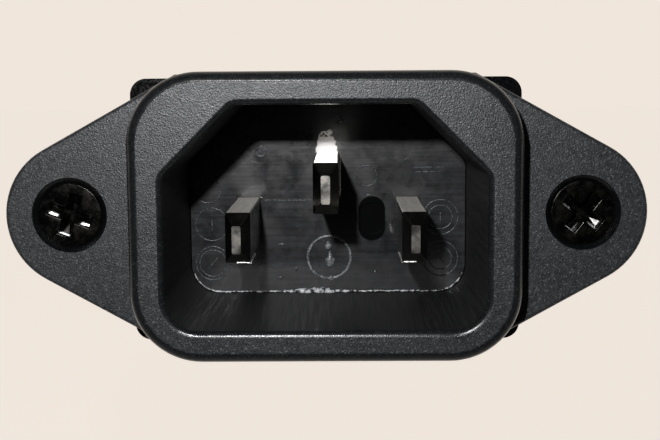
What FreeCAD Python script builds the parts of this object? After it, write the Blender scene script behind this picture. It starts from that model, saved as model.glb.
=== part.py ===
import FreeCAD, Part
import math
import os
import Sketcher
from FreeCAD import Vector

# C14 panel inlet: a flange with two screw ears, a collar round the plug recess,
# a carrier with three blade contacts snapped in from behind, and two countersunk screws.
# X runs to the right along the screw line, Z up, and the plug comes in along +Y.
# The origin is midway between the screws, on the flange's rear face.

document = FreeCAD.newDocument("c14_panel_inlet")
sheet = document.addObject("Spreadsheet::Sheet", "sizes")


class Size:
    """A length that is known both as a number and as the expression that drives it."""

    def __init__(self, value, text):
        self.value = value
        self.text = text

    def join(self, other, sign, value):
        other_text = other.text if isinstance(other, Size) else repr(other)
        return Size(value, f"({self.text} {sign} {other_text})")

    def __add__(self, other):
        return self.join(other, "+", self.value + number(other))

    def __sub__(self, other):
        return self.join(other, "-", self.value - number(other))

    def __mul__(self, other):
        return self.join(other, "*", self.value * number(other))

    def __truediv__(self, other):
        return self.join(other, "/", self.value / number(other))

    def __neg__(self):
        return Size(-self.value, f"(-{self.text})")


def number(length):
    return length.value if isinstance(length, Size) else length


def sine(angle):
    return Size(math.sin(math.radians(angle.value)), f"sin({angle.text})")


def tangent(angle):
    return Size(math.tan(math.radians(angle.value)), f"tan({angle.text})")


DRIVING_SIZES = {
    # flange and its two ears
    "flange_length": 50.0,
    "flange_height": 21.7,
    "flange_thickness": 3.0,
    "flange_edge_round": 0.3,
    "ear_radius": 5.8,
    "ear_taper_angle": 29.0,
    "screw_spacing": 40.0,
    "screw_hole_width": 3.4,
    "countersink_width": 5.9,
    "countersink_angle": 90.0,
    # collar that stands round the recess
    "collar_width": 29.9,
    "collar_height": 22.1,
    "collar_projection": 3.5,
    "collar_corner_round": 5.5,
    "collar_edge_round": 0.85,
    # recess that takes the plug
    "recess_width": 24.5,
    "recess_height": 17.1,
    "recess_depth": 16.5,
    "recess_keying_cut": 5.4,
    "recess_keying_round": 1.0,
    "recess_corner_round": 2.6,
    "recess_mouth_round": 0.5,
    # box-shaped body behind the flange
    "body_width": 31.1,
    "body_height": 21.1,
    "body_depth": 14.5,
    "body_corner_round": 1.3,
    "rim_wall": 1.0,
    "rebate_corner_round": 0.65,
    "coring_width": 1.3,
    "coring_height": 12.0,
    "coring_depth": 7.5,
    "coring_wall": 1.0,
    "coring_corner_round": 0.3,
    # contact carrier
    "carrier_gap": 0.1,
    "carrier_floor_thickness": 1.7,
    "gate_dimple_width": 2.8,
    "gate_dimple_depth": 0.3,
    "gate_dimple_x": 3.9,
    "gate_dimple_z": -1.9,
    "ejector_mark_width": 3.5,
    "ejector_mark_x": 5.9,
    "ejector_mark_z": 4.8,
    "wheel_mark_width": 3.9,
    "wheel_mark_x": 0.1,
    "wheel_mark_z": -5.35,
    "mark_depth": 0.08,
    "lug_width": 4.0,
    "lug_length": 1.1,
    "lug_projection": 0.7,
    "lug_root": 0.35,
    "lug_rear_margin": 1.2,
    "lug_offset": 9.0,
    "lug_window_gap": 0.1,
    "tower_height": 2.0,
    "tower_wall": 1.1,
    "tower_corner_round": 0.6,
    # blade contacts
    "contact_pitch": 14.0,
    "contact_row_offset": 4.0,
    "blade_thickness": 2.0,
    "blade_height": 4.0,
    "blade_edge_round": 0.15,
    "line_tip_setback": 3.3,
    "earth_tip_setback": 2.0,
    "tip_length": 1.5,
    "land_thickness": 0.7,
    "land_height": 2.2,
    "slot_gap": 0.12,
    "shoulder_cover": 2.0,
    "shoulder_height": 6.3,
    "shoulder_depth": 3.6,
    "tab_root": 1.8,
    "tab_thickness": 0.8,
    "tab_length": 9.0,
    "tab_corner_cut": 1.4,
    "tab_hole_width": 1.8,
    "tab_hole_setback": 4.2,
    # countersunk screws
    "screw_width": 3.0,
    "screw_neck_width": 2.6,
    "screw_length": 12.0,
    "screw_head_width": 5.0,
    "screw_head_edge": 0.2,
    "screw_head_edge_round": 0.12,
    "screw_seat_gap": 0.03,
    "screw_point_cut": 0.4,
    "left_screw_twist": -19.0,
    "right_screw_twist": -38.0,
    "cross_span": 3.4,
    "cross_slot_width": 1.0,
    "cross_depth": 1.3,
    "cross_rim_round": 0.12,
    "cross_taper_angle": 10.0,
}

for row, (alias, value) in enumerate(DRIVING_SIZES.items(), start=1):
    sheet.set(f"A{row}", alias)
    sheet.set(f"B{row}", str(value))
    sheet.setAlias(f"B{row}", alias)
document.recompute()


class Sizes:
    """Each driving size by its name, as in size.flange_length."""

    def __getattr__(self, alias):
        return Size(DRIVING_SIZES[alias], f"sizes.{alias}")


size = Sizes()

# ---------------------------------------------------------------- drawing helpers


same_place = 0.001
full_turn = 360


def new_body(label):
    body = document.addObject("PartDesign::Body", label)
    body.Label = label
    return body


def origin_plane(body, role):
    return next(item for item in body.Origin.OriginFeatures if item.Role == role)


def bind(feature, **lengths):
    for name, length in lengths.items():
        feature.setExpression(name, length.text)


def new_sketch(body, name, role="XZ_Plane", y=None, across=None):
    """A sketch facing -Y at the depth y, or on another plane shifted along its normal."""
    sketch = body.newObject("Sketcher::SketchObject", name)
    sketch.AttachmentSupport = [(origin_plane(body, role), "")]
    sketch.MapMode = "FlatFace"
    shift = -y if y is not None else across
    if shift is not None:
        sketch.setExpression("AttachmentOffset.Base.z", shift.text)
    return sketch


def fix(sketch, kind, arguments, length):
    index = sketch.addConstraint(Sketcher.Constraint(kind, *arguments, length.value))
    sketch.renameConstraint(index, f"size{index}")
    sketch.setExpression(f"Constraints.size{index}", length.text)


def place_point(sketch, geometry, point, x, z):
    fix(sketch, "DistanceX", (-1, 1, geometry, point), x)
    fix(sketch, "DistanceY", (-1, 1, geometry, point), z)


def outline(sketch, corners):
    """A closed outline of straight sides through corners (x, z, radius or None).

    A rounded corner keeps its sharp point as construction geometry, and its arc is tangent
    to both sides."""
    flat = [Vector(x.value, z.value, 0) for x, z, _ in corners]
    starts, ends, arcs = [], [], []
    for i, (_, _, radius) in enumerate(corners):
        before = (flat[i - 1] - flat[i]).normalize()
        after = (flat[(i + 1) % len(flat)] - flat[i]).normalize()
        if radius is None:
            starts.append(flat[i])
            ends.append(flat[i])
            arcs.append(None)
            continue
        half_turn = before.getAngle(after) / 2
        reach = radius.value / math.tan(half_turn)
        bisector = (before + after).normalize()
        middle = flat[i] + bisector * (radius.value / math.sin(half_turn) - radius.value)
        ends.append(flat[i] + before * reach)
        starts.append(flat[i] + after * reach)
        arcs.append(Part.Arc(ends[-1], middle, starts[-1]))
    sides = []
    for i in range(len(corners)):
        side = Part.LineSegment(starts[i], ends[(i + 1) % len(corners)])
        sides.append(sketch.addGeometry(side, False))
    for i, (x, z, radius) in enumerate(corners):
        side_before, side_after = sides[i - 1], sides[i]
        if radius is None:
            sketch.addConstraint(Sketcher.Constraint("Coincident", side_before, 2, side_after, 1))
            place_point(sketch, side_after, 1, x, z)
            continue
        corner_point = sketch.addGeometry(Part.Point(flat[i]), True)
        place_point(sketch, corner_point, 1, x, z)
        sketch.addConstraint(Sketcher.Constraint("PointOnObject", corner_point, 1, side_before))
        sketch.addConstraint(Sketcher.Constraint("PointOnObject", corner_point, 1, side_after))
        arc = sketch.addGeometry(arcs[i], False)
        for side, side_end in ((side_before, 2), (side_after, 1)):
            side_point = flat_end(sketch, side, side_end)
            arc_end = nearest_end(sketch, arc, side_point)
            sketch.addConstraint(Sketcher.Constraint("Tangent", side, side_end, arc, arc_end))
        fix(sketch, "Radius", (arc,), radius)


def flat_end(sketch, side, end):
    line = sketch.Geometry[side]
    return line.StartPoint if end == 1 else line.EndPoint


def nearest_end(sketch, arc, point):
    curve = sketch.Geometry[arc]
    return 1 if curve.StartPoint.distanceToPoint(point) < curve.EndPoint.distanceToPoint(point) else 2


def rectangle(sketch, centre_x, centre_z, width, height, radius=None):
    left, right = centre_x - width / 2, centre_x + width / 2
    bottom, top = centre_z - height / 2, centre_z + height / 2
    outline(sketch, [
        (left, bottom, radius),
        (right, bottom, radius),
        (right, top, radius),
        (left, top, radius),
    ])


def circle(sketch, x, z, width):
    centre = Vector(x.value, z.value, 0)
    ring = sketch.addGeometry(Part.Circle(centre, Vector(0, 0, 1), width.value / 2), False)
    place_point(sketch, ring, 3, x, z)
    fix(sketch, "Diameter", (ring,), width)


def pad(body, sketch, length, rearward=False):
    """Adds material towards -Y from the sketch, or towards +Y when rearward is true."""
    feature = body.newObject("PartDesign::Pad", sketch.Name + "_pad")
    feature.Profile = sketch
    bind(feature, Length=length)
    feature.Reversed = rearward
    document.recompute()
    return feature


def pocket(body, sketch, length):
    """Cuts towards +Y from the sketch."""
    before = body.Shape.Volume
    feature = body.newObject("PartDesign::Pocket", sketch.Name + "_pocket")
    feature.Profile = sketch
    bind(feature, Length=length)
    document.recompute()
    if body.Shape.Volume >= before:
        raise RuntimeError(f"{feature.Name} cut nothing")
    return feature


def edges_where(shape, test):
    return [f"Edge{i}" for i, edge in enumerate(shape.Edges, start=1) if test(edge)]


def lies_at_depth(edge, y):
    box = edge.BoundBox
    return abs(box.YMin - y.value) < same_place and abs(box.YMax - y.value) < same_place


def lies_within(edge, width, height):
    box = edge.BoundBox
    inside_x = max(-box.XMin, box.XMax) < width.value / 2 + same_place
    inside_z = max(-box.ZMin, box.ZMax) < height.value / 2 + same_place
    return inside_x and inside_z


def round_edges(body, test, radius, name):
    base = body.Tip
    feature = body.newObject("PartDesign::Fillet", name)
    feature.Base = (base, edges_where(base.Shape, test))
    bind(feature, Radius=radius)
    document.recompute()
    return feature


# ---------------------------------------------------------------- places shared by the pieces

zero = Size(0.0, "0")
flange_front = -size.flange_thickness
collar_front = flange_front - size.collar_projection
recess_floor = collar_front + size.recess_depth
carrier_seat = recess_floor + size.carrier_floor_thickness
screw_x = size.screw_spacing / 2
line_x = size.contact_pitch / 2
line_z = -size.contact_row_offset / 2
earth_z = size.contact_row_offset / 2
shoulder_front = recess_floor + size.shoulder_cover
shoulder_rear = shoulder_front + size.shoulder_depth
plate_inset = size.rim_wall + size.carrier_gap
lug_rear = size.body_depth - size.lug_rear_margin
contact_places = {
    "left_contact_pin": (-line_x, line_z, size.line_tip_setback),
    "right_contact_pin": (line_x, line_z, size.line_tip_setback),
    "earth_contact_pin": (zero, earth_z, size.earth_tip_setback),
}


def recess_outline(sketch, inset):
    """The keyed section of the recess: its upper corners are cut at 45 degrees."""
    side = size.recess_width / 2 - inset
    top = size.recess_height / 2 - inset
    cut = size.recess_keying_cut - inset * (2 - math.sqrt(2))
    keying_round = size.recess_keying_round
    lower_round = size.recess_corner_round - inset
    outline(sketch, [
        (-side, -top, lower_round),
        (side, -top, lower_round),
        (side, top - cut, keying_round),
        (side - cut, top, keying_round),
        (-side + cut, top, keying_round),
        (-side, top - cut, keying_round),
    ])


# ---------------------------------------------------------------- front shroud


def make_front_shroud():
    """One moulding: flange with ears, collar, plug recess and the body behind the flange."""
    body = new_body("front_shroud")

    flange = new_sketch(body, "flange_outline")
    half_length, half_height = size.flange_length / 2, size.flange_height / 2
    ear_point = half_length - size.ear_radius + size.ear_radius / sine(size.ear_taper_angle)
    flat_end_x = ear_point - half_height / tangent(size.ear_taper_angle)
    outline(flange, [
        (ear_point, zero, size.ear_radius),
        (flat_end_x, half_height, None),
        (-flat_end_x, half_height, None),
        (-ear_point, zero, size.ear_radius),
        (-flat_end_x, -half_height, None),
        (flat_end_x, -half_height, None),
    ])
    pad(body, flange, size.flange_thickness)
    round_edges(body, lambda edge: lies_at_depth(edge, flange_front), size.flange_edge_round, "flange_edge")

    collar = new_sketch(body, "collar_outline")
    rectangle(collar, zero, zero, size.collar_width, size.collar_height, size.collar_corner_round)
    pad(body, collar, -collar_front)
    round_edges(body, lambda edge: lies_at_depth(edge, collar_front), size.collar_edge_round, "collar_edge")

    housing = new_sketch(body, "body_outline")
    rectangle(housing, zero, zero, size.body_width, size.body_height, size.body_corner_round)
    pad(body, housing, size.body_depth, rearward=True)

    recess = new_sketch(body, "recess_outline", y=collar_front)
    recess_outline(recess, zero)
    pocket(body, recess, size.body_depth - collar_front)
    round_edges(
        body,
        lambda edge: lies_at_depth(edge, collar_front)
        and lies_within(edge, size.recess_width, size.recess_height),
        size.recess_mouth_round,
        "recess_mouth",
    )

    rebate = new_sketch(body, "carrier_rebate", y=carrier_seat)
    rectangle(
        rebate, zero, zero,
        size.body_width - size.rim_wall * 2,
        size.body_height - size.rim_wall * 2,
        size.rebate_corner_round,
    )
    pocket(body, rebate, size.body_depth - carrier_seat)

    for side_name, side in (("left", -1), ("right", 1)):
        coring = new_sketch(body, f"{side_name}_coring", y=carrier_seat - size.coring_depth)
        centre_x = (size.body_width / 2 - size.coring_wall - size.coring_width / 2) * side
        rectangle(
            coring, centre_x, zero,
            size.coring_width, size.coring_height, size.coring_corner_round,
        )
        pocket(body, coring, size.coring_depth)

    for level_name, level in (("lower", -1), ("upper", 1)):
        for side_name, side in (("left", -1), ("right", 1)):
            window_front = lug_rear - size.lug_length - size.lug_window_gap
            window = new_sketch(body, f"{level_name}_{side_name}_window", y=window_front)
            wall_middle = (size.body_height / 2 - size.rim_wall / 2) * level
            rectangle(
                window, size.lug_offset * side, wall_middle,
                size.lug_width + size.lug_window_gap * 2, size.rim_wall * 2,
            )
            pocket(body, window, size.lug_length + size.lug_window_gap * 2)

    holes = new_sketch(body, "screw_hole_centres", y=flange_front)
    for x in (-screw_x, screw_x):
        circle(holes, x, zero, size.screw_hole_width)
    before = body.Shape.Volume
    hole = body.newObject("PartDesign::Hole", "screw_holes")
    hole.Profile = holes
    hole.Threaded = False
    hole.DepthType = "ThroughAll"
    hole.HoleCutType = "Countersink"
    hole.HoleCutCustomValues = True
    bind(
        hole,
        Diameter=size.screw_hole_width,
        HoleCutDiameter=size.countersink_width,
        HoleCutCountersinkAngle=size.countersink_angle,
    )
    document.recompute()
    if body.Shape.Volume >= before:
        raise RuntimeError("the screw holes cut nothing")
    return body


# ---------------------------------------------------------------- contact carrier


def make_contact_carrier():
    """Second moulding: the recess floor, a plate that sits in the body's rear rim, and a
    tower round each tab."""
    body = new_body("contact_carrier")

    core = new_sketch(body, "floor_outline", y=carrier_seat)
    recess_outline(core, size.carrier_gap)
    pad(body, core, size.carrier_floor_thickness)

    plate = new_sketch(body, "plate_outline", y=carrier_seat)
    rectangle(
        plate, zero, zero,
        size.body_width - plate_inset * 2,
        size.body_height - plate_inset * 2,
        size.rebate_corner_round - size.carrier_gap,
    )
    pad(body, plate, size.body_depth - carrier_seat, rearward=True)

    towers = new_sketch(body, "tower_outlines", y=size.body_depth)
    for x, z, _ in contact_places.values():
        rectangle(
            towers, x, z,
            size.blade_thickness + size.tower_wall * 2,
            size.shoulder_height + size.tower_wall * 2,
            size.tower_corner_round,
        )
    pad(body, towers, size.tower_height, rearward=True)

    slots = new_sketch(body, "blade_slots", y=recess_floor)
    for x, z, _ in contact_places.values():
        rectangle(
            slots, x, z,
            size.blade_thickness + size.slot_gap * 2,
            size.blade_height + size.slot_gap * 2,
        )
    pocket(body, slots, size.body_depth + size.tower_height - recess_floor)

    seats = new_sketch(body, "shoulder_seats", y=shoulder_front)
    for x, z, _ in contact_places.values():
        rectangle(
            seats, x, z,
            size.blade_thickness + size.slot_gap * 2,
            size.shoulder_height + size.slot_gap * 2,
        )
    pocket(body, seats, size.body_depth + size.tower_height - shoulder_front)

    marks = {
        "gate_dimple": (
            size.gate_dimple_x, size.gate_dimple_z, size.gate_dimple_width, size.gate_dimple_depth,
        ),
        "left_ejector_mark": (
            -size.ejector_mark_x, size.ejector_mark_z, size.ejector_mark_width, size.mark_depth,
        ),
        "right_ejector_mark": (
            size.ejector_mark_x, size.ejector_mark_z, size.ejector_mark_width, size.mark_depth,
        ),
        "wheel_mark": (
            size.wheel_mark_x, size.wheel_mark_z, size.wheel_mark_width, size.mark_depth,
        ),
    }
    for name, (x, z, width, depth) in marks.items():
        mark = new_sketch(body, name, y=recess_floor)
        circle(mark, x, z, width)
        pocket(body, mark, depth)

    for level_name, level in (("lower", -1), ("upper", 1)):
        for side_name, side in (("left", -1), ("right", 1)):
            make_snap_lug(body, f"{level_name}_{side_name}_lug", size.lug_offset * side, level)
    return body


def make_snap_lug(body, name, x, level):
    """A wedge on the plate's edge: it ramps up towards the rear and catches in a window."""
    wedge = new_sketch(body, name, role="YZ_Plane", across=x)
    root = (size.body_height / 2 - plate_inset - size.lug_root) * level
    foot = (size.body_height / 2 - plate_inset) * level
    crest = (size.body_height / 2 - plate_inset + size.lug_projection) * level
    corners = [
        (lug_rear - size.lug_length, root, None),
        (lug_rear, root, None),
        (lug_rear, crest, None),
        (lug_rear - size.lug_length, foot, None),
    ]
    outline(wedge, corners if level > 0 else corners[::-1])
    feature = pad(body, wedge, size.lug_width)
    feature.Midplane = True
    document.recompute()


# ---------------------------------------------------------------- blade contacts


def make_contact(label, x, z, tip_setback):
    """A blade with a bevelled tip, a shoulder that seats in the carrier, and a flat tab."""
    body = new_body(label)
    bevel_front = collar_front + tip_setback
    bevel_rear = bevel_front + size.tip_length

    blade = new_sketch(body, "blade_section", y=shoulder_front)
    rectangle(blade, x, z, size.blade_thickness, size.blade_height, size.blade_edge_round)
    pad(body, blade, shoulder_front - bevel_rear)

    bevel_root = new_sketch(body, "bevel_root", y=bevel_rear)
    rectangle(bevel_root, x, z, size.blade_thickness, size.blade_height, size.blade_edge_round)
    land = new_sketch(body, "tip_land", y=bevel_front)
    rectangle(land, x, z, size.land_thickness, size.land_height, size.blade_edge_round)
    document.recompute()
    tip = body.newObject("PartDesign::AdditiveLoft", "tip")
    tip.Profile = bevel_root
    tip.Sections = [land]
    tip.Ruled = True
    document.recompute()

    shoulder = new_sketch(body, "shoulder_section", y=shoulder_front)
    rectangle(shoulder, x, z, size.blade_thickness, size.shoulder_height)
    pad(body, shoulder, size.shoulder_depth, rearward=True)

    tab = new_sketch(body, "tab_outline", role="YZ_Plane", across=x - size.tab_thickness / 2)
    tab_end = shoulder_rear + size.tab_length
    top, bottom = z + size.shoulder_height / 2, z - size.shoulder_height / 2
    cut = size.tab_corner_cut
    outline(tab, [
        (shoulder_rear - size.tab_root, bottom, None),
        (tab_end - cut, bottom, None),
        (tab_end, bottom + cut, None),
        (tab_end, top - cut, None),
        (tab_end - cut, top, None),
        (shoulder_rear - size.tab_root, top, None),
    ])
    circle(tab, tab_end - size.tab_hole_setback, z, size.tab_hole_width)
    pad(body, tab, size.tab_thickness)
    return body


# ---------------------------------------------------------------- screws


def make_screw(label, x, twist):
    """An M3 countersunk screw with a cross recess, lying in the ear's countersink.

    Its neck, as wide as the thread's pitch, ends at the flange's rear face."""
    body = new_body(label)
    head_drop = (size.countersink_width - size.screw_head_width) / 2
    cone_top = flange_front + head_drop - size.screw_seat_gap
    top = cone_top - size.screw_head_edge
    cone_root = cone_top + (size.screw_head_width - size.screw_neck_width) / 2
    thread_rise = (size.screw_width - size.screw_neck_width) / 2
    point = top + size.screw_length
    head_radius, shank_radius = size.screw_head_width / 2, size.screw_width / 2
    neck_radius = size.screw_neck_width / 2
    profile = new_sketch(body, "turned_profile", role="XY_Plane")
    outline(profile, [
        (x, top, None),
        (x + head_radius, top, size.screw_head_edge_round),
        (x + head_radius, cone_top, None),
        (x + neck_radius, cone_root, None),
        (x + neck_radius, zero, None),
        (x + shank_radius, thread_rise, None),
        (x + shank_radius, point - size.screw_point_cut, None),
        (x + shank_radius - size.screw_point_cut, point, None),
        (x, point, None),
    ])
    centre_line = Part.LineSegment(Vector(x.value, top.value, 0), Vector(x.value, point.value, 0))
    axis = profile.addGeometry(centre_line, True)
    place_point(profile, axis, 1, x, top)
    place_point(profile, axis, 2, x, point)
    turned = body.newObject("PartDesign::Revolution", "turned")
    turned.Profile = profile
    turned.ReferenceAxis = (profile, ["Axis0"])
    turned.Angle = full_turn
    document.recompute()

    for name, turn in (("first_slot", 0), ("second_slot", 90)):
        slot = new_sketch(body, name, y=top)
        slot.setExpression("AttachmentOffset.Base.x", x.text)
        slot.setExpression("AttachmentOffset.Rotation.Angle", f"{twist.text} + {turn}")
        rectangle(slot, zero, zero, size.cross_span, size.cross_slot_width)
        cut = pocket(body, slot, size.cross_depth)
        bind(cut, TaperAngle=-size.cross_taper_angle)
        document.recompute()
    round_edges(
        body,
        lambda edge: lies_at_depth(edge, top) and isinstance(edge.Curve, Part.Line),
        size.cross_rim_round,
        "cross_rim",
    )
    return body


# ---------------------------------------------------------------- build, check and write

pieces = [make_front_shroud(), make_contact_carrier()]
pieces += [make_contact(label, x, z, setback) for label, (x, z, setback) in contact_places.items()]
pieces.append(make_screw("mounting_screw_left", -screw_x, size.left_screw_twist))
pieces.append(make_screw("mounting_screw_right", screw_x, size.right_screw_twist))
document.recompute()

for item in document.Objects:
    if "Invalid" in item.State or "Error" in item.State:
        raise RuntimeError(f"{item.Name} did not recompute: {item.State}")
for piece in pieces:
    if piece.Shape.isNull() or not piece.Shape.isValid() or len(piece.Shape.Solids) != 1:
        raise RuntimeError(f"{piece.Label} is not one valid solid")

os.makedirs("parts", exist_ok=True)
for piece in pieces:
    piece.Shape.exportStep(f"parts/{piece.Label}.step")
    print(f"{piece.Label}: {piece.Shape.Volume:.1f} mm3")
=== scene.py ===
# Inlet socket for a mains appliance, drawn in metres on its own frame: X to the right,
# Z up, and the face a plug meets turned towards -Y.
import math
import random

import bmesh
import bpy
from mathutils import Matrix, Vector


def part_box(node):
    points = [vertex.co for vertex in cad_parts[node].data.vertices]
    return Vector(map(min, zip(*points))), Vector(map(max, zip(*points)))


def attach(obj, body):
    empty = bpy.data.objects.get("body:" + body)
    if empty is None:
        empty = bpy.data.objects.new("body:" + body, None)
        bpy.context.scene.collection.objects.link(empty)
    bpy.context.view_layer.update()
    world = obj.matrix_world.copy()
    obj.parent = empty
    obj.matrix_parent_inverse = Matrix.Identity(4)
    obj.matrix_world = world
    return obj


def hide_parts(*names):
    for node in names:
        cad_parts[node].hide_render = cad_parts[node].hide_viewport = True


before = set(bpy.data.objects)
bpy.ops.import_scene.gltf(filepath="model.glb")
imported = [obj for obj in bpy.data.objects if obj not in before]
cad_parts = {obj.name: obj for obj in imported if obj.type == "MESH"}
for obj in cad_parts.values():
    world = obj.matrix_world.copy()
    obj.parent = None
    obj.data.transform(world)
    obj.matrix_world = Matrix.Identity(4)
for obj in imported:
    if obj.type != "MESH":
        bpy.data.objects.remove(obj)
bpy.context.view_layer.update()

# ---------------------------------------------------------------- camera
# A close view of the face, a little above the axis of the inlet, so the lower wall
# of the recess and the upper faces of the blades both show.
lens_place = Vector((0.001255, -0.095208, 0.010574))
lens_turn = [math.radians(angle) for angle in (83.170, 0.383, 0.535)]
lens_length = 65.09
film_width = 36
camera = bpy.data.objects.new("camera", bpy.data.cameras.new("camera"))
camera.data.sensor_width = film_width
camera.data.lens = lens_length
camera.data.clip_start = 0.01
camera.data.clip_end = 10
camera.location = lens_place
camera.rotation_euler = lens_turn
bpy.context.scene.collection.objects.link(camera)
bpy.context.scene.camera = camera

# ---------------------------------------------------------------- light and backdrop
# One small softbox beside the lens, a pale sheet that curves away behind the part and
# under it, and a dim room in front. The sheet lights the back and the sides.
pale_sheet = (0.871, 0.791, 0.716, 1)
dim_room = (0.016, 0.017, 0.019, 1)
softbox_place = Vector((-0.010, -0.084, 0.027))
softbox_width = 0.0036
softbox_power = 0.073
softbox_colour = (0.99, 0.985, 1)
floor_level = -0.100
floor_reach = 4.0
floor_glow = 0.772
sheet_from, sheet_full = -0.05, 0.85

softbox = bpy.data.objects.new("softbox", bpy.data.lights.new("softbox", "AREA"))
softbox.data.shape = "DISK"
softbox.data.size = softbox_width
softbox.data.energy = softbox_power
softbox.data.color = softbox_colour
softbox.location = softbox_place
softbox.rotation_euler = (-softbox_place).to_track_quat("-Z", "Y").to_euler()
softbox.visible_camera = False
bpy.context.scene.collection.objects.link(softbox)


def add(tree, kind, wires=None, **settings):
    """Adds a node, sets its choices, and wires or sets its sockets."""
    made = tree.nodes.new(kind)
    for name, value in settings.items():
        setattr(made, name, value)
    for socket, value in (wires or {}).items():
        if isinstance(value, bpy.types.NodeSocket):
            tree.links.new(value, made.inputs[socket])
        else:
            made.inputs[socket].default_value = value
    return made


def reckon(tree, operation, first, second=0.0):
    """One sum on one or two values."""
    return add(tree, "ShaderNodeMath", {0: first, 1: second}, operation=operation).outputs[0]


def times(tree, first, second):
    """The product of two values; of two masks, what both cover."""
    return reckon(tree, "MULTIPLY", first, second)


def plus(tree, first, second):
    """The sum of two values."""
    return reckon(tree, "ADD", first, second)


def split(tree, vector):
    """The X, Y and Z of a vector."""
    return add(tree, "ShaderNodeSeparateXYZ", {0: vector}).outputs


def ease(tree, value, low, high, start=0.0, end=1.0):
    """Goes smoothly from start to end while the value goes from low to high."""
    wires = {"Value": value, "From Min": low, "From Max": high, "To Min": start, "To Max": end}
    return add(tree, "ShaderNodeMapRange", wires, interpolation_type="SMOOTHSTEP").outputs[0]


def blend_colours(tree, amount, first, second):
    """Mixes two colours, each a value or a wire."""
    return add(tree, "ShaderNodeMix", {0: amount, 6: first, 7: second}, data_type="RGBA").outputs[2]


room = bpy.data.worlds.new("room")
bpy.context.scene.world = room
room.use_nodes = True
tree = room.node_tree
tree.nodes.clear()
way = add(tree, "ShaderNodeTexCoord").outputs["Generated"]
behind = ease(tree, split(tree, way)["Y"], sheet_from, sheet_full)
seen = add(tree, "ShaderNodeLightPath").outputs["Is Camera Ray"]
share = reckon(tree, "MAXIMUM", behind, seen)
sky = blend_colours(tree, share, dim_room, pale_sheet)
lit = add(tree, "ShaderNodeBackground", {"Color": sky, "Strength": 1.0})
add(tree, "ShaderNodeOutputWorld", {"Surface": lit.outputs[0]})

floor_mesh = bpy.data.meshes.new("floor")
shell = bmesh.new()
bmesh.ops.create_grid(shell, x_segments=1, y_segments=1, size=floor_reach,
                      matrix=Matrix.Translation((0, 0, floor_level)))
shell.to_mesh(floor_mesh)
shell.free()
floor = bpy.data.objects.new("floor", floor_mesh)
bpy.context.scene.collection.objects.link(floor)

# Behind the part the paper is pale and shows in shiny faces; in front it is nearly black.
paper_black = (0, 0, 0, 1)
paper_grey = (0.8, 0.8, 0.8, 1)
front_paleness = 0.05
pale_from, pale_to = -0.12, 0.03
mirrored_from, mirrored_to = -0.02, 0.12
paper = bpy.data.materials.new("pale_paper")
paper.use_nodes = True
tree = paper.node_tree
tree.nodes.clear()
rays = add(tree, "ShaderNodeLightPath").outputs
along = split(tree, add(tree, "ShaderNodeTexCoord").outputs["Object"])["Y"]
mirrored = reckon(tree, "MAXIMUM", rays["Is Glossy Ray"], rays["Is Transmission Ray"])
mirrored = times(tree, mirrored, ease(tree, along, mirrored_from, mirrored_to))
seen = reckon(tree, "MAXIMUM", rays["Is Camera Ray"], mirrored)
shade = ease(tree, along, pale_from, pale_to, front_paleness, 1.0)
paper_colour = blend_colours(tree, shade, paper_black, paper_grey)
matt = add(tree, "ShaderNodeBsdfDiffuse", {"Color": paper_colour})
strength = reckon(tree, "SUBTRACT", 1.0, times(tree, shade, 1 - floor_glow))
strength = times(tree, seen, strength)
glow = add(tree, "ShaderNodeEmission", {"Color": pale_sheet, "Strength": strength})
both = add(tree, "ShaderNodeAddShader", {0: matt.outputs[0], 1: glow.outputs[0]})
add(tree, "ShaderNodeOutputMaterial", {"Surface": both.outputs[0]})
floor_mesh.materials.append(paper)

# ---------------------------------------------------------------- front shroud
# The outer moulding: flange, collar and body in one, of black glass-filled nylon. The tool is
# spark-eroded outside and polished behind the flange, and it drags along the walls of the recess as it
# draws. The shoulder just behind the flange and the countersinks are darkened with painted shade, and
# pale specks on the outside are painted glints. Two screws hold the flange to the panel.
collar_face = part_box("front_shroud")[0].y
recess_half_width = 0.01225
recess_half_height = 0.00855
recess_margin = 0.0003
mouth_round_from, mouth_round_to = collar_face + 0.0002, collar_face + 0.0006
screw_head_radius = 0.0025
ear_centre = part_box("mounting_screw_right")[1].x - screw_head_radius
countersink_radius = 0.00297
countersink_blur = 0.00012
flat_face_end, burnish_start = collar_face + 0.000001, collar_face + 0.000012
burnish_fade, burnish_end = collar_face + 0.0012, collar_face + 0.0020
ears_from, ears_full = -0.0045, -0.0035
flange_back_from, flange_back_full = -0.0004, -0.0001
sides_from, sides_full = 0.0003, 0.0012
dark_resin = (0.009, 0.0100, 0.0110, 1)
worn_resin = (0.019, 0.0208, 0.0225, 1)
ear_resin = (0.036, 0.0385, 0.041, 1)
mottle_black = (0.004, 0.0045, 0.005, 1)
mottle_grey = (0.052, 0.056, 0.060, 1)
etched_grey = (0.034, 0.037, 0.038, 1)
painted_glint_grey = (0.13, 0.137, 0.137, 1)
bore_black = (0.006, 0.0066, 0.0066, 1)
bore_grey = (0.012, 0.013, 0.013, 1)
burnish_black = (0.006, 0.0066, 0.007, 1)
shoulder_painted_shade = (0.0025, 0.0027, 0.003, 1)
side_black = (0.012, 0.013, 0.0135, 1)
side_grey = (0.022, 0.023, 0.024, 1)
countersink_painted_shade = (0.003, 0.0033, 0.0036, 1)
etch_depth = 0.000020
lump_depth = 0.000006
drag_depth = 0.000006


def new_finish(name):
    """A material with its shader, and the part's own coordinates."""
    made = bpy.data.materials.new(name)
    made.use_nodes = True
    tree = made.node_tree
    shader = tree.nodes["Principled BSDF"]
    place = add(tree, "ShaderNodeTexCoord").outputs["Object"]
    return made, tree, shader, place


def distance(tree, across, up):
    """How far a place lies from a point, by its two distances along the face."""
    apart = add(tree, "ShaderNodeCombineXYZ", {0: across, 2: up}).outputs[0]
    return add(tree, "ShaderNodeVectorMath", {0: apart}, operation="LENGTH").outputs["Value"]


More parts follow.
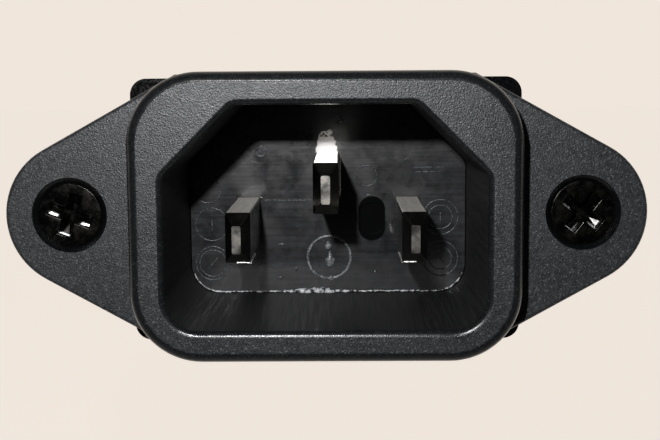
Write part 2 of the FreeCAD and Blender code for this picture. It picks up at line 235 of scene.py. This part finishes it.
def grain(tree, place, scale, detail=2.0, rough=0.5, stretch=(1, 1, 1)):
    """Cloudy noise; scale is in lumps a metre, and a small stretch draws it out."""
    spread = add(tree, "ShaderNodeMapping", {"Vector": place, "Scale": stretch}).outputs[0]
    wires = {"Vector": spread, "Scale": scale, "Detail": detail, "Roughness": rough}
    return add(tree, "ShaderNodeTexNoise", wires).outputs[0]


def relief(tree, height, depth, under=None):
    """Turns a height into a bump of the given depth in metres."""
    wires = {"Height": height, "Distance": depth, "Strength": 1.0}
    if under is not None:
        wires["Normal"] = under
    return add(tree, "ShaderNodeBump", wires).outputs[0]


shroud_finish, tree, shader, place = new_finish("eroded_black_polyamide")
axes = split(tree, place)
aside = reckon(tree, "ABSOLUTE", axes["X"])
above = reckon(tree, "ABSOLUTE", axes["Z"])
width_limit = recess_half_width + recess_margin
height_limit = recess_half_height + recess_margin
within_width = ease(tree, aside, width_limit, width_limit + recess_margin, 1, 0)
within_height = ease(tree, above, height_limit, height_limit + recess_margin, 1, 0)
past_mouth = ease(tree, axes["Y"], mouth_round_from, mouth_round_to)
inside = times(tree, times(tree, within_width, within_height), past_mouth)
behind_flange = ease(tree, axes["Y"], flange_back_from, flange_back_full)
behind_flange = times(tree, behind_flange, reckon(tree, "SUBTRACT", 1.0, inside))
off_hole = distance(tree, reckon(tree, "SUBTRACT", aside, ear_centre), above)
countersunk = ease(tree, off_hole, countersink_radius - countersink_blur, countersink_radius, 1, 0)
polished = reckon(tree, "MAXIMUM", reckon(tree, "MAXIMUM", inside, behind_flange), countersunk)
outside = reckon(tree, "SUBTRACT", 1.0, polished)
burnished = times(tree, ease(tree, axes["Y"], flat_face_end, burnish_start),
                  ease(tree, axes["Y"], burnish_fade, burnish_end, 1, 0))

pits = add(tree, "ShaderNodeTexVoronoi", {"Vector": place, "Scale": 8000.0}, feature="F1")
pits = pits.outputs["Distance"]
fine = grain(tree, place, 9500, 3, 0.6)
lumps = grain(tree, place, 1500, 3, 0.55)
cloud = grain(tree, place, 170, 3, 0.6)
handled = grain(tree, place, 55, 2, 0.5)
drag = grain(tree, place, 4200, 2, 0.5, (1, 0.03, 1))
# Painted highlights: sparse pale specks in the base colour stand in for glints of the softbox on the
# etched skin.
glint_specks = ease(tree, grain(tree, place, 6200, 1, 0.4), 0.60, 0.74)
glint_dots = ease(tree, grain(tree, place, 3600, 2, 0.5), 0.70, 0.74)

resin = blend_colours(tree, ease(tree, cloud, 0.3, 0.7), dark_resin, worn_resin)
ears = ease(tree, axes["Y"], ears_from, ears_full)
resin = blend_colours(tree, times(tree, ears, 0.35), resin, ear_resin)
mottle = grain(tree, place, 2600, 3, 0.65)
resin = blend_colours(tree, ease(tree, mottle, 0.52, 0.30, 0, 0.75), resin, mottle_black)
resin = blend_colours(tree, ease(tree, mottle, 0.50, 0.72, 0, 0.85), resin, mottle_grey)
resin = blend_colours(tree, ease(tree, fine, 0.35, 0.72), resin, etched_grey)
painted_glints = times(tree, times(tree, reckon(tree, "MAXIMUM", glint_specks, glint_dots), outside), 0.65)
resin = blend_colours(tree, painted_glints, resin, painted_glint_grey)
bore = blend_colours(tree, ease(tree, drag, 0.35, 0.7), bore_black, bore_grey)
resin = blend_colours(tree, times(tree, burnished, 0.75), resin, burnish_black)
resin = blend_colours(tree, polished, resin, bore)
# Painted shade: the body's front-facing shoulder just behind the flange is coloured nearly black;
# further back the body has its own black with clouds.
sides = ease(tree, axes["Y"], sides_from, sides_full)
side_clouds = times(tree, ease(tree, cloud, 0.35, 0.7), sides)
body_black_and_painted_shade = blend_colours(tree, sides, shoulder_painted_shade, side_black)
body_black_and_painted_shade = blend_colours(tree, side_clouds, body_black_and_painted_shade, side_grey)
resin = blend_colours(tree, behind_flange, resin, body_black_and_painted_shade)
# Painted shade: the countersink cones round the screw heads are coloured nearly black; they are also
# polished.
resin = blend_colours(tree, countersunk, resin, countersink_painted_shade)
tree.links.new(resin, shader.inputs["Base Color"])

rough_out = ease(tree, lumps, 0.3, 0.7, 0.35, 0.42)
rough_out = plus(tree, rough_out, ease(tree, handled, 0.4, 0.7, 0.0, -0.03))
rough_out = plus(tree, rough_out, times(tree, burnished, -0.12))
rough_in = ease(tree, drag, 0.3, 0.7, 0.58, 0.70)
body_shine = ease(tree, sides, 0, 1, -0.50, -0.24)
rough_in = plus(tree, rough_in, times(tree, behind_flange, body_shine))
rough_in = plus(tree, rough_in, times(tree, countersunk, -0.38))
rough = add(tree, "ShaderNodeMix", {0: polished, 2: rough_out, 3: rough_in}, data_type="FLOAT")
tree.links.new(rough.outputs[0], shader.inputs["Roughness"])

etched = plus(tree, times(tree, pits, 0.6), fine)
etched = times(tree, etched, ease(tree, polished, 0, 1, 1.0, 0.05))
etched = times(tree, etched, ease(tree, burnished, 0, 1, 1.0, 0.3))
skin = relief(tree, etched, etch_depth)
skin = relief(tree, times(tree, plus(tree, lumps, cloud), outside), lump_depth, skin)
skin = relief(tree, times(tree, drag, inside), drag_depth, skin)
tree.links.new(skin, shader.inputs["Normal"])
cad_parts["front_shroud"].material_slots[0].material = shroud_finish

# ---------------------------------------------------------------- contact carrier
# The second moulding, in the same black nylon from a shinier tool, snapped in from behind.
# Its front is the recess floor: cutter lines cross it from side to side, the gate has left an oblong
# spot, and a pale patch above the earth blade is a painted reflection of the blade's bright top.
recess_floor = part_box("contact_carrier")[0].y
gate_x, gate_z = 0.0039, -0.0019
gate_radius = 0.00124
gate_half_run = 0.0008
gate_blur = 0.00012
glint_half_width = 0.00110
glint_height = 0.0019
glint_x = -0.0001
glint_lean = 0.30
glint_raggedness = 0.00055
clear_of_floor = 0.001
floor_black = (0.004, 0.0046, 0.0052, 1)
floor_grey = (0.017, 0.0185, 0.0205, 1)
cloud_black = (0.005, 0.0055, 0.006, 1)
scratch_grey = (0.11, 0.115, 0.12, 1)
gate_black = (0.003, 0.0033, 0.0036, 1)
painted_glint_white = (0.95, 0.93, 0.92, 1)
cutter_depth = 0.000007
swirl_depth = 0.00002

carrier_finish, tree, shader, place = new_finish("glossy_black_polyamide")
cutter = grain(tree, place, 3600, 3, 0.55, (0.04, 1, 1))
swirl = grain(tree, place, 420, 3, 0.6)
cloud = grain(tree, place, 130, 3, 0.6)
fine = grain(tree, place, 6500, 2, 0.5)
grease = ease(tree, grain(tree, place, 260, 4, 0.6), 0.5, 0.66)
resin = blend_colours(tree, ease(tree, cutter, 0.3, 0.72), floor_black, floor_grey)
resin = blend_colours(tree, ease(tree, cloud, 0.42, 0.7, 0, 0.6), resin, cloud_black)
resin = blend_colours(tree, ease(tree, fine, 0.66, 0.74, 0, 0.5), resin, scratch_grey)
axes = split(tree, place)
down_gate = reckon(tree, "ABSOLUTE", reckon(tree, "SUBTRACT", axes["Z"], gate_z))
down_gate = reckon(tree, "MAXIMUM", reckon(tree, "SUBTRACT", down_gate, gate_half_run), 0.0)
off_gate = distance(tree, reckon(tree, "SUBTRACT", axes["X"], gate_x), down_gate)
gate = ease(tree, off_gate, gate_radius - gate_blur, gate_radius, 1, 0)
resin = blend_colours(tree, gate, resin, gate_black)


def blade_face(name):
    """The lowest and highest corners of the blade where it stands in the recess."""
    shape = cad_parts[name].data
    front = [vert.co for vert in shape.vertices if vert.co.y < recess_floor - clear_of_floor]
    low = Vector((min(co.x for co in front), recess_floor, min(co.z for co in front)))
    high = Vector((max(co.x for co in front), recess_floor, max(co.z for co in front)))
    return low, high


# Painted reflection: a ragged white patch on the floor above the earth blade stands in for the glint of
# the blade's top mirrored in the floor.
earth_top = blade_face("earth_contact_pin")[1].z
ragged = grain(tree, place, 2300, 2, 0.6)
ragged = ease(tree, ragged, 0.2, 0.8, -glint_raggedness, glint_raggedness)
climb = plus(tree, reckon(tree, "SUBTRACT", axes["Z"], earth_top), ragged)
aside = reckon(tree, "ABSOLUTE", reckon(tree, "SUBTRACT", axes["X"], glint_x))
aside = plus(tree, aside, times(tree, climb, glint_lean))
painted_glint_patch = times(tree, ease(tree, climb, glint_height - 0.0004, glint_height, 1, 0),
            ease(tree, aside, glint_half_width - 0.00012, glint_half_width, 1, 0))
painted_glint_patch = times(tree, painted_glint_patch, ease(tree, axes["Z"], earth_top - 0.0001, earth_top))
on_floor = ease(tree, axes["Y"], recess_floor + 0.0001, recess_floor + 0.0002, 1, 0)
resin = blend_colours(tree, times(tree, painted_glint_patch, on_floor), resin, painted_glint_white)
tree.links.new(resin, shader.inputs["Base Color"])
rough = ease(tree, swirl, 0.35, 0.65, 0.27, 0.37)
rough = plus(tree, rough, times(tree, grease, -0.06))
rough = times(tree, rough, ease(tree, gate, 0, 1, 1.0, 0.25))
tree.links.new(rough, shader.inputs["Roughness"])
skin = relief(tree, cutter, cutter_depth)
skin = relief(tree, swirl, swirl_depth, skin)
tree.links.new(skin, shader.inputs["Normal"])
shader.inputs["Coat Weight"].default_value = 0.6
shader.inputs["Coat Roughness"].default_value = 0.09
tree.links.new(relief(tree, swirl, swirl_depth), shader.inputs["Coat Normal"])
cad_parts["contact_carrier"].material_slots[0].material = carrier_finish

# ---------------------------------------------------------------- marks on the recess floor
# Thin raised rings and witness marks that the carrier's tool leaves on the recess floor,
# in the carrier's own nylon: ejector pins, the tool's setting wheel, and plain rings and
# bars. No writing is on it.
ring_wire = 0.00006
merge_distance = 1e-7


def keep_piece(shell, name, finish, smooth_below=40):
    """Closes a mesh as one piece of the inlet, soft where its faces meet gently."""
    bmesh.ops.remove_doubles(shell, verts=shell.verts, dist=merge_distance)
    bmesh.ops.recalc_face_normals(shell, faces=shell.faces)
    for edge in shell.edges:
        edge.smooth = edge.calc_face_angle(0) < math.radians(smooth_below)
    for face in shell.faces:
        face.smooth = True
    mesh = bpy.data.meshes.new(name)
    shell.to_mesh(mesh)
    shell.free()
    mesh.materials.append(finish)
    piece = bpy.data.objects.new(name, mesh)
    bpy.context.scene.collection.objects.link(piece)
    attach(piece, "root")
    return piece


def raised_ring(shell, x, z, radius, wire=ring_wire):
    """A wire half sunk in the recess floor, bent round a circle."""
    start = bmesh.ops.create_circle(shell, segments=10, radius=wire,
                                    matrix=Matrix.Translation((x + radius, recess_floor, z)))
    edges = list({edge for vert in start["verts"] for edge in vert.link_edges})
    bmesh.ops.spin(shell, geom=start["verts"] + edges, cent=(x, recess_floor, z), axis=(0, 1, 0),
                   angle=math.tau, steps=56, use_merge=True)


def dome(shell, x, z, width, rise, height):
    """A low oval pip, wide and high as given, that rises from the floor by rise."""
    place = Matrix.Translation((x, recess_floor, z)) @ Matrix.Diagonal((width / 2, rise, height / 2, 1))
    pip = bmesh.ops.create_uvsphere(shell, u_segments=20, v_segments=12, radius=1, matrix=place)
    return pip["verts"]


def scuffed_finish(name, hollow, crest):
    """Raised plastic, pale in scuffed blotches."""
    made, tree, shader, place = new_finish(name)
    scuff = grain(tree, place, 5200, 3, 0.6)
    worn = blend_colours(tree, ease(tree, scuff, 0.35, 0.65), hollow, crest)
    tree.links.new(worn, shader.inputs["Base Color"])
    tree.links.new(ease(tree, scuff, 0.3, 0.7, 0.20, 0.38), shader.inputs["Roughness"])
    tree.links.new(relief(tree, scuff, 0.000012), shader.inputs["Normal"])
    return made


ring_finish = scuffed_finish("scuffed_ring", (0.022, 0.024, 0.026, 1), (0.11, 0.116, 0.122, 1))
wheel_finish = scuffed_finish("scuffed_wheel_mark", (0.070, 0.075, 0.080, 1), (0.26, 0.27, 0.28, 1))

# Each mark with its place across and up, and its radius, or its length and turn in degrees.
shell = bmesh.new()
for x, z, radius in (
    (-0.01030, -0.00237, 0.00145),
    (-0.01026, -0.00585, 0.00150),
    (-0.01026, -0.00585, 0.00118),
    (-0.01060, 0.00065, 0.00110),
    (0.00998, -0.00180, 0.00155),
    (0.00998, -0.00180, 0.00105),
    (0.00998, -0.00550, 0.00155),
    (0.00998, -0.00550, 0.00100),
    (0.00346, 0.00190, 0.00090),
):
    raised_ring(shell, x, z, radius)
pip_x, pip_z = -0.00585, 0.00410
raised_ring(shell, pip_x, pip_z, 0.00042, 0.00010)
dome(shell, pip_x, pip_z, 0.00032, 0.00016, 0.00032)
for x, z, length, turn in (
    (-0.01030, -0.00237, 0.0012, 90),
    (-0.01026, -0.00585, 0.0014, 50),
    (0.00998, -0.00180, 0.0009, 90),
    (0.00998, -0.00550, 0.0011, 130),
    (0.00900, 0.00262, 0.0030, 0),
    (0.00900, 0.00222, 0.0026, 0),
):
    bar = dome(shell, x, z, length, 0.00007, 0.00014)
    bmesh.ops.rotate(shell, verts=bar, cent=(x, recess_floor, z),
                     matrix=Matrix.Rotation(math.radians(-turn), 3, "Y"))
keep_piece(shell, "recess_floor_rings", ring_finish)

# The setting wheel of the tool leaves a raised rim round its own sunk seat, a pointer, a
# pip over the pointer and small pips on the rim. It carries no numbers.
wheel_x, wheel_z = 0.0001, -0.00535
wheel_radius = 0.00190
shell = bmesh.new()
raised_ring(shell, wheel_x, wheel_z, wheel_radius, 0.00012)
dome(shell, wheel_x - 0.00008, wheel_z + 0.00102, 0.00068, 0.00032, 0.00068)
pointer = dome(shell, wheel_x + 0.00006, wheel_z - 0.00015, 0.00086, 0.00026, 0.00150)
tip = [vert for vert in pointer if vert.co.z > wheel_z - 0.00010]
bmesh.ops.scale(shell, verts=tip, vec=(0.5, 0.8, 1.0),
                space=Matrix.Translation((-wheel_x - 0.00006, -recess_floor, 0)))
for turn, width in (
    (0, 0.00030),
    (62, 0.00024),
    (130, 0.00026),
    (157, 0.00040),
    (214, 0.00036),
    (275, 0.00042),
    (330, 0.00034),
):
    dome(shell, wheel_x + wheel_radius * math.cos(math.radians(turn)),
         wheel_z + wheel_radius * math.sin(math.radians(turn)), width, 0.00018, width)
keep_piece(shell, "setting_wheel", wheel_finish)

# Small pips and a seam left where two inserts of the tool meet.
shell = bmesh.new()
for x, z, width, height in (
    (-0.00408, -0.00418, 0.00075, 0.00026),
    (-0.00430, -0.00715, 0.00070, 0.00022),
    (-0.00285, -0.00640, 0.00024, 0.00050),
    (0.00417, -0.00668, 0.00048, 0.00026),
    (0.00360, 0.00020, 0.00050, 0.00020),
    (-0.01055, 0.00185, 0.00070, 0.00018),
):
    dome(shell, x, z, width, 0.00009, height)
seam_place = Matrix.Translation((-0.0035, recess_floor, -0.00024))
seam_place = seam_place @ Matrix.Diagonal((0.0044, 0.00005, 0.00007, 1))
bmesh.ops.create_cube(shell, size=1, matrix=seam_place)
keep_piece(shell, "insert_seam", ring_finish, 25)

# Flash: a ragged bead squeezed out along the lower edge of the recess floor and up round
# its two lower corners, thickest near the middle.
random.seed(11)
flash_radius = 0.000075
flash_corner = 0.0025
flash_side = 0.0121
flash_half_run = flash_side - flash_corner
flash_level = -0.00842
flash_bulge = 3.0
bulge_x, bulge_reach = -0.0010, 0.0018
flash_nudge = 0.000025
corner_steps = 14
corner_turn = Matrix.Rotation(math.radians(-5), 3, "Y")
run_steps = 120
flash_dark = (0.03, 0.032, 0.034, 1)
flash_highlight_white = (0.66, 0.67, 0.68, 1)


def grow_ring(shell, ring):
    """Adds one more ring to a tube and gives back its vertices and edges."""
    grown = bmesh.ops.extrude_edge_only(shell, edges=ring)["geom"]
    verts = [item for item in grown if isinstance(item, bmesh.types.BMVert)]
    edges = [item for item in grown if isinstance(item, bmesh.types.BMEdge)
             and all(end in verts for end in item.verts)]
    return verts, edges


def middle(verts):
    """The mean place of some vertices."""
    return sum((vert.co for vert in verts), Vector()) / len(verts)


def roughen(shell, verts, swell):
    """Swells and nudges one ring so the bead runs ragged."""
    size = swell * random.uniform(0.55, 1.5) * flash_radius / (verts[0].co - middle(verts)).length
    centre = middle(verts)
    bmesh.ops.scale(shell, verts=verts, vec=(size, size, size), space=Matrix.Translation(-centre))
    nudge = Vector((0, random.uniform(-1, 1), random.uniform(-1, 1))) * flash_nudge
    bmesh.ops.translate(shell, verts=verts, vec=nudge)
    return nudge


def round_corner(shell, ring, shift, corner, swell):
    """Takes the bead round one lower corner of the recess floor."""
    for _ in range(corner_steps):
        verts, ring = grow_ring(shell, ring)
        bmesh.ops.translate(shell, verts=verts, vec=-shift)
        bmesh.ops.rotate(shell, verts=verts, cent=corner, matrix=corner_turn)
        shift = roughen(shell, verts, swell)
    return ring, shift


shell = bmesh.new()
left_corner = Vector((-flash_half_run, recess_floor, flash_level + flash_corner))
right_corner = Vector((flash_half_run, recess_floor, flash_level + flash_corner))
begin = Matrix.Translation(left_corner) @ Matrix.Rotation(math.radians(70), 4, "Y")
begin = begin @ Matrix.Translation((0, 0, -flash_corner)) @ Matrix.Rotation(math.pi / 2, 4, "Y")
first = bmesh.ops.create_circle(shell, segments=8, radius=flash_radius, matrix=begin)["verts"]
ring = list({edge for vert in first for edge in vert.link_edges})
ring, shift = round_corner(shell, ring, Vector(), left_corner, 0.9)
stride = Vector((2 * flash_half_run / run_steps, 0, 0))
for step in range(run_steps):
    verts, ring = grow_ring(shell, ring)
    along = -flash_half_run + 2 * flash_half_run * (step + 1) / run_steps
    swell = 0.9 + flash_bulge * math.exp(-((along - bulge_x) / bulge_reach) ** 2)
    bmesh.ops.translate(shell, verts=verts, vec=stride - shift)
    shift = roughen(shell, verts, swell)
round_corner(shell, ring, shift, right_corner, 0.8)
bmesh.ops.holes_fill(shell, edges=shell.edges, sides=0)
flash_finish, tree, shader, place = new_finish("glossy_flash")
lumps = grain(tree, place, 2500, 3, 0.6)
# Pale lumps in the bead's colour are painted highlight for the glint along it, partly the whitening of
# torn plastic.
bead_colour = blend_colours(tree, ease(tree, lumps, 0.4, 0.6), flash_dark, flash_highlight_white)
tree.links.new(bead_colour, shader.inputs["Base Color"])
tree.links.new(ease(tree, lumps, 0.3, 0.7, 0.12, 0.35), shader.inputs["Roughness"])
tree.links.new(relief(tree, lumps, 0.00003), shader.inputs["Normal"])
keep_piece(shell, "recess_flash_bead", flash_finish, 80)

# ---------------------------------------------------------------- blade contacts
# Three blanked brass blades, plated bright nickel, pressed into the carrier from behind.
# Their tops are torn by the shear, most deeply on the two line blades, their side faces are painted
# darker as painted shade, and the brass shows through the plating in blotches.
contact_names = ("left_contact_pin", "right_contact_pin", "earth_contact_pin")
over_line_blades, under_earth_top = 0.0030, 0.0035
line_tear, earth_tear = 0.0006, 0.0002
earth_top_slope = 5.4
nickel_dull = (0.62, 0.60, 0.55, 1)
nickel_bright = (0.80, 0.78, 0.73, 1)
bare_brass = (0.66, 0.55, 0.34, 1)
flank_shade_grey = (0.20, 0.21, 0.18, 1)
contact_finish, tree, shader, place = new_finish("nickel_on_brass")
drawn = grain(tree, place, 5200, 3, 0.6, (1, 0.02, 1))
blotch = grain(tree, place, 700, 3, 0.6)
plate = blend_colours(tree, ease(tree, drawn, 0.3, 0.7), nickel_dull, nickel_bright)
plate = blend_colours(tree, ease(tree, blotch, 0.56, 0.72, 0, 0.45), plate, bare_brass)
shader.inputs["Metallic"].default_value = 1.0
facing = split(tree, add(tree, "ShaderNodeTexCoord").outputs["Normal"])
# Painted shade: faces turned sideways are blended towards dark grey, at noisy strength.
flank = ease(tree, reckon(tree, "ABSOLUTE", facing["X"]), 0.7, 0.95)
flank_shade = ease(tree, grain(tree, place, 350, 3, 0.6), 0.3, 0.7)
flank_shade = times(tree, flank, ease(tree, flank_shade, 0, 1, 0.6, 0.9))
plate = blend_colours(tree, flank_shade, plate, flank_shade_grey)
tree.links.new(plate, shader.inputs["Base Color"])
sheared = ease(tree, facing["Z"], 0.90, 0.97)
axes = split(tree, place)
torn = grain(tree, place, 3600, 3, 0.6, (0.45, 1, 1))
deep = ease(tree, axes["Z"], over_line_blades, under_earth_top, line_tear, earth_tear)
on_earth = ease(tree, axes["Z"], over_line_blades, under_earth_top)
rough = ease(tree, blotch, 0.3, 0.7, 0.14, 0.27)
rough = plus(tree, rough, times(tree, sheared, ease(tree, on_earth, 0, 1, 0.42, 0.16)))
tree.links.new(rough, shader.inputs["Roughness"])
skin = relief(tree, drawn, 0.000003)
skin = relief(tree, blotch, 0.000006, skin)
ripped = times(tree, times(tree, torn, sheared), deep)
skin = relief(tree, ripped, 1.0, skin)
dragged = plus(tree, axes["Y"], times(tree, torn, 0.00004))
dragged = times(tree, times(tree, dragged, on_earth), sheared)
skin = relief(tree, times(tree, dragged, earth_top_slope), 1.0, skin)
tree.links.new(skin, shader.inputs["Normal"])
for name in contact_names:
    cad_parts[name].material_slots[0].material = contact_finish

# The shear leaves a bright burr on the lower inner corner of the two line blades.
burr_radius = 0.00008
burr_across = 0.0011
burr_along = 0.0052
burr_steps = 9
same_level = 0.00001
burr_dull = (0.75, 0.74, 0.70, 1)
burr_bright = (0.95, 0.94, 0.90, 1)
burr_finish, tree, shader, place = new_finish("bright_burr")
shader.inputs["Metallic"].default_value = 1.0
ragged = grain(tree, place, 3200, 3, 0.6)
tree.links.new(blend_colours(tree, ragged, burr_dull, burr_bright), shader.inputs["Base Color"])
tree.links.new(ease(tree, ragged, 0.3, 0.7, 0.25, 0.5), shader.inputs["Roughness"])
tree.links.new(relief(tree, ragged, 0.00006), shader.inputs["Normal"])
for name, side in (("left_contact_pin", 1), ("right_contact_pin", -1)):
    low, high = blade_face(name)
    corner = Vector((high.x if side > 0 else low.x, 0, low.z))
    shoulder = min(vert.co.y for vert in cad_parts[name].data.vertices
                   if abs(vert.co.z - low.z) < same_level)
    shell = bmesh.new()
    across = ((corner.x - side * burr_across, shoulder, low.z), (side * burr_across, 0, 0), "Y")
    inward = ((corner.x, shoulder, low.z), (0, burr_along, 0), "X")
    for start, run, axis in (across, inward):
        turned = Matrix.Translation(start) @ Matrix.Rotation(math.pi / 2, 4, axis)
        first = bmesh.ops.create_circle(shell, cap_ends=True, segments=8, radius=burr_radius,
                                        matrix=turned)["verts"]
        ring = list({edge for vert in first for edge in vert.link_edges})
        for step in range(burr_steps):
            verts, ring = grow_ring(shell, ring)
            bmesh.ops.translate(shell, verts=verts, vec=Vector(run) / burr_steps)
            size = random.uniform(0.8, 1.2) if step < burr_steps - 1 else 0.4
            bmesh.ops.scale(shell, verts=verts, vec=(size, size, size),
                            space=Matrix.Translation(-middle(verts)))
    bmesh.ops.holes_fill(shell, edges=shell.edges, sides=0)
    keep_piece(shell, name.replace("contact_pin", "blade_burr"), burr_finish, 80)

# A thin skin of plastic closes the slot round each blade, a little below the recess floor.
skin_width = 0.000115
skin_gap = 0.000005
skin_front = recess_floor + 0.00010
skin_depth = 0.0005
for name in contact_names:
    low, high = blade_face(name)
    centre = (low + high) / 2
    shell = bmesh.new()
    width, height = high.x - low.x + 2 * skin_width, high.z - low.z + 2 * skin_width
    place = Matrix.Translation((centre.x, skin_front + skin_depth, centre.z))
    place = place @ Matrix.Diagonal((width, 1, height, 1)) @ Matrix.Rotation(math.pi / 2, 4, "X")
    bmesh.ops.create_grid(shell, x_segments=1, y_segments=1, size=0.5, matrix=place)
    blade_hole = shell.faces[:]
    bmesh.ops.inset_region(shell, faces=blade_hole, thickness=skin_width - skin_gap,
                           use_boundary=True, use_even_offset=True)
    bmesh.ops.delete(shell, geom=blade_hole, context="FACES_ONLY")
    bmesh.ops.solidify(shell, geom=shell.faces[:], thickness=skin_depth)
    sink = skin_front + skin_depth / 2 - middle(shell.verts[:]).y
    bmesh.ops.translate(shell, verts=shell.verts, vec=(0, sink, 0))
    keep_piece(shell, name.replace("contact_pin", "blade_seal"), carrier_finish)

# ---------------------------------------------------------------- mounting screws
# Two countersunk cross-head machine screws of blackened steel with a film of oil. They are
# headed and then thread-rolled, and they clamp the flange to the panel through its ears.
head_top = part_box("mounting_screw_left")[0].y
slot_from, slot_full = head_top + 0.00012, head_top + 0.00025
slot_fade, slot_end = -0.0010, -0.0006
slot_glint_from, slot_glint_full = 0.00085, 0.00105
slot_glint_fade, slot_glint_end = head_top + 0.0006, head_top + 0.0008
oiled_black = (0.006, 0.006, 0.006, 1)
oiled_grey = (0.020, 0.019, 0.017, 1)
dried_oil = (0.12, 0.10, 0.075, 1)
slot_glint_steel = (0.75, 0.75, 0.74, 1)
blotch_depth = 0.00002
dust_depth = 0.000006
slot_slope = 1.4
slot_waver = 0.0001
screw_finish, tree, shader, place = new_finish("blackened_oiled_steel")
blotch = grain(tree, place, 1300, 4, 0.6)
fine = grain(tree, place, 6000, 2, 0.5)
black = blend_colours(tree, ease(tree, blotch, 0.35, 0.65), oiled_black, oiled_grey)
black = blend_colours(tree, ease(tree, fine, 0.62, 0.75, 0, 0.5), black, dried_oil)
facing = split(tree, add(tree, "ShaderNodeTexCoord").outputs["Normal"])
axes = split(tree, place)
in_slot = ease(tree, axes["Y"], slot_from, slot_full)
in_slot = times(tree, in_slot, ease(tree, axes["Y"], slot_fade, slot_end, 1, 0))
off_axis = reckon(tree, "SUBTRACT", reckon(tree, "ABSOLUTE", axes["X"]), ear_centre)
off_axis = distance(tree, off_axis, axes["Z"])
# Painted highlights: the upward-facing walls of the cross recess, which face the softbox, are coloured
# bright steel and tilted towards the lens.
slot_glint = times(tree, in_slot, ease(tree, facing["Z"], 0.55, 0.75))
slot_glint = times(tree, slot_glint, ease(tree, off_axis, slot_glint_from, slot_glint_full))
slot_glint = times(tree, slot_glint, ease(tree, axes["Y"], slot_glint_fade, slot_glint_end, 1, 0))
black = blend_colours(tree, slot_glint, black, slot_glint_steel)
tree.links.new(black, shader.inputs["Base Color"])
shader.inputs["Metallic"].default_value = 0.85
rough = ease(tree, blotch, 0.3, 0.7, 0.16, 0.34)
rough = plus(tree, rough, times(tree, slot_glint, 0.25))
tree.links.new(rough, shader.inputs["Roughness"])
skin = relief(tree, fine, dust_depth)
skin = relief(tree, blotch, blotch_depth, skin)
waver = times(tree, grain(tree, place, 3000, 2), slot_waver)
dragged = plus(tree, times(tree, axes["Y"], slot_slope), waver)
skin = relief(tree, times(tree, dragged, slot_glint), 1.0, skin)
tree.links.new(skin, shader.inputs["Normal"])

thread_pitch = 0.0005
thread_root = 0.00122
thread_crest = 0.0015
thread_foot = thread_root - 0.00003
thread_start = 0.00005
thread_steps = 28
tooth_corners = (
    (thread_foot, 0.00002),
    (thread_crest, 0.00021),
    (thread_crest, 0.00028),
    (thread_foot, 0.00047),
)
plain_end = 0.0005
neck_end = -0.0003
point_chamfer = 0.0002
point_setback = 0.00002
slot_reach = 0.0017
slot_narrowing = 0.55
slot_low, slot_high = head_top + 0.0009, head_top + 0.00135


def threaded_screw(node, name):
    """The turned head and neck of the node, with a rolled thread on its shank."""
    low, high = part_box(node)
    x = (low.x + high.x) / 2
    shell = bmesh.new()
    shell.from_mesh(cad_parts[node].data)
    bmesh.ops.remove_doubles(shell, verts=shell.verts, dist=merge_distance)
    slot_foot = [vert for vert in shell.verts
                 if (vert.co.xz - Vector((x, 0))).length < slot_reach
                 and slot_low < vert.co.y < slot_high]
    bmesh.ops.scale(shell, verts=slot_foot, vec=(slot_narrowing, 1, slot_narrowing),
                    space=Matrix.Translation((-x, 0, 0)))
    bmesh.ops.bisect_plane(shell, geom=shell.verts[:] + shell.edges[:] + shell.faces[:], dist=1e-8,
                           plane_co=(x, neck_end, 0), plane_no=(0, 1, 0), clear_outer=True)
    bmesh.ops.holes_fill(shell, edges=shell.edges, sides=0)

    shank = high.y - point_setback - neck_end
    turned = Matrix.Translation((x, neck_end + shank / 2, 0)) @ Matrix.Rotation(math.pi / 2, 4, "X")
    core = bmesh.ops.create_cone(shell, cap_ends=True, segments=48, radius1=thread_root,
                                 radius2=thread_root, depth=shank, matrix=turned)["verts"]
    point = [vert for vert in core if vert.co.y > high.y - 0.0001]
    rim = list({edge for vert in point for edge in vert.link_edges
                if all(end in point for end in edge.verts)})
    bmesh.ops.bevel(shell, geom=rim, offset=point_chamfer, segments=2, profile=0.5,
                    affect="EDGES", material=-1)

    turns = int((high.y - plain_end - thread_start) / thread_pitch)
    tooth = [bmesh.ops.create_vert(shell, co=(x + radius, thread_start + along, 0))["vert"][0]
             for radius, along in tooth_corners]
    face = bmesh.ops.contextual_create(shell, geom=tooth)["faces"]
    bmesh.ops.spin(shell, geom=tooth + list(face[0].edges) + face, cent=(x, 0, 0), axis=(0, 1, 0),
                   dvec=(0, thread_pitch / thread_steps, 0), angle=math.tau * turns,
                   steps=thread_steps * turns, use_merge=False)
    screw = keep_piece(shell, name, screw_finish, 32)
    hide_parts(node)


threaded_screw("mounting_screw_left", "threaded_screw_left")
threaded_screw("mounting_screw_right", "threaded_screw_right")

# ---------------------------------------------------------------- view
bpy.context.scene.view_settings.view_transform = "Standard"
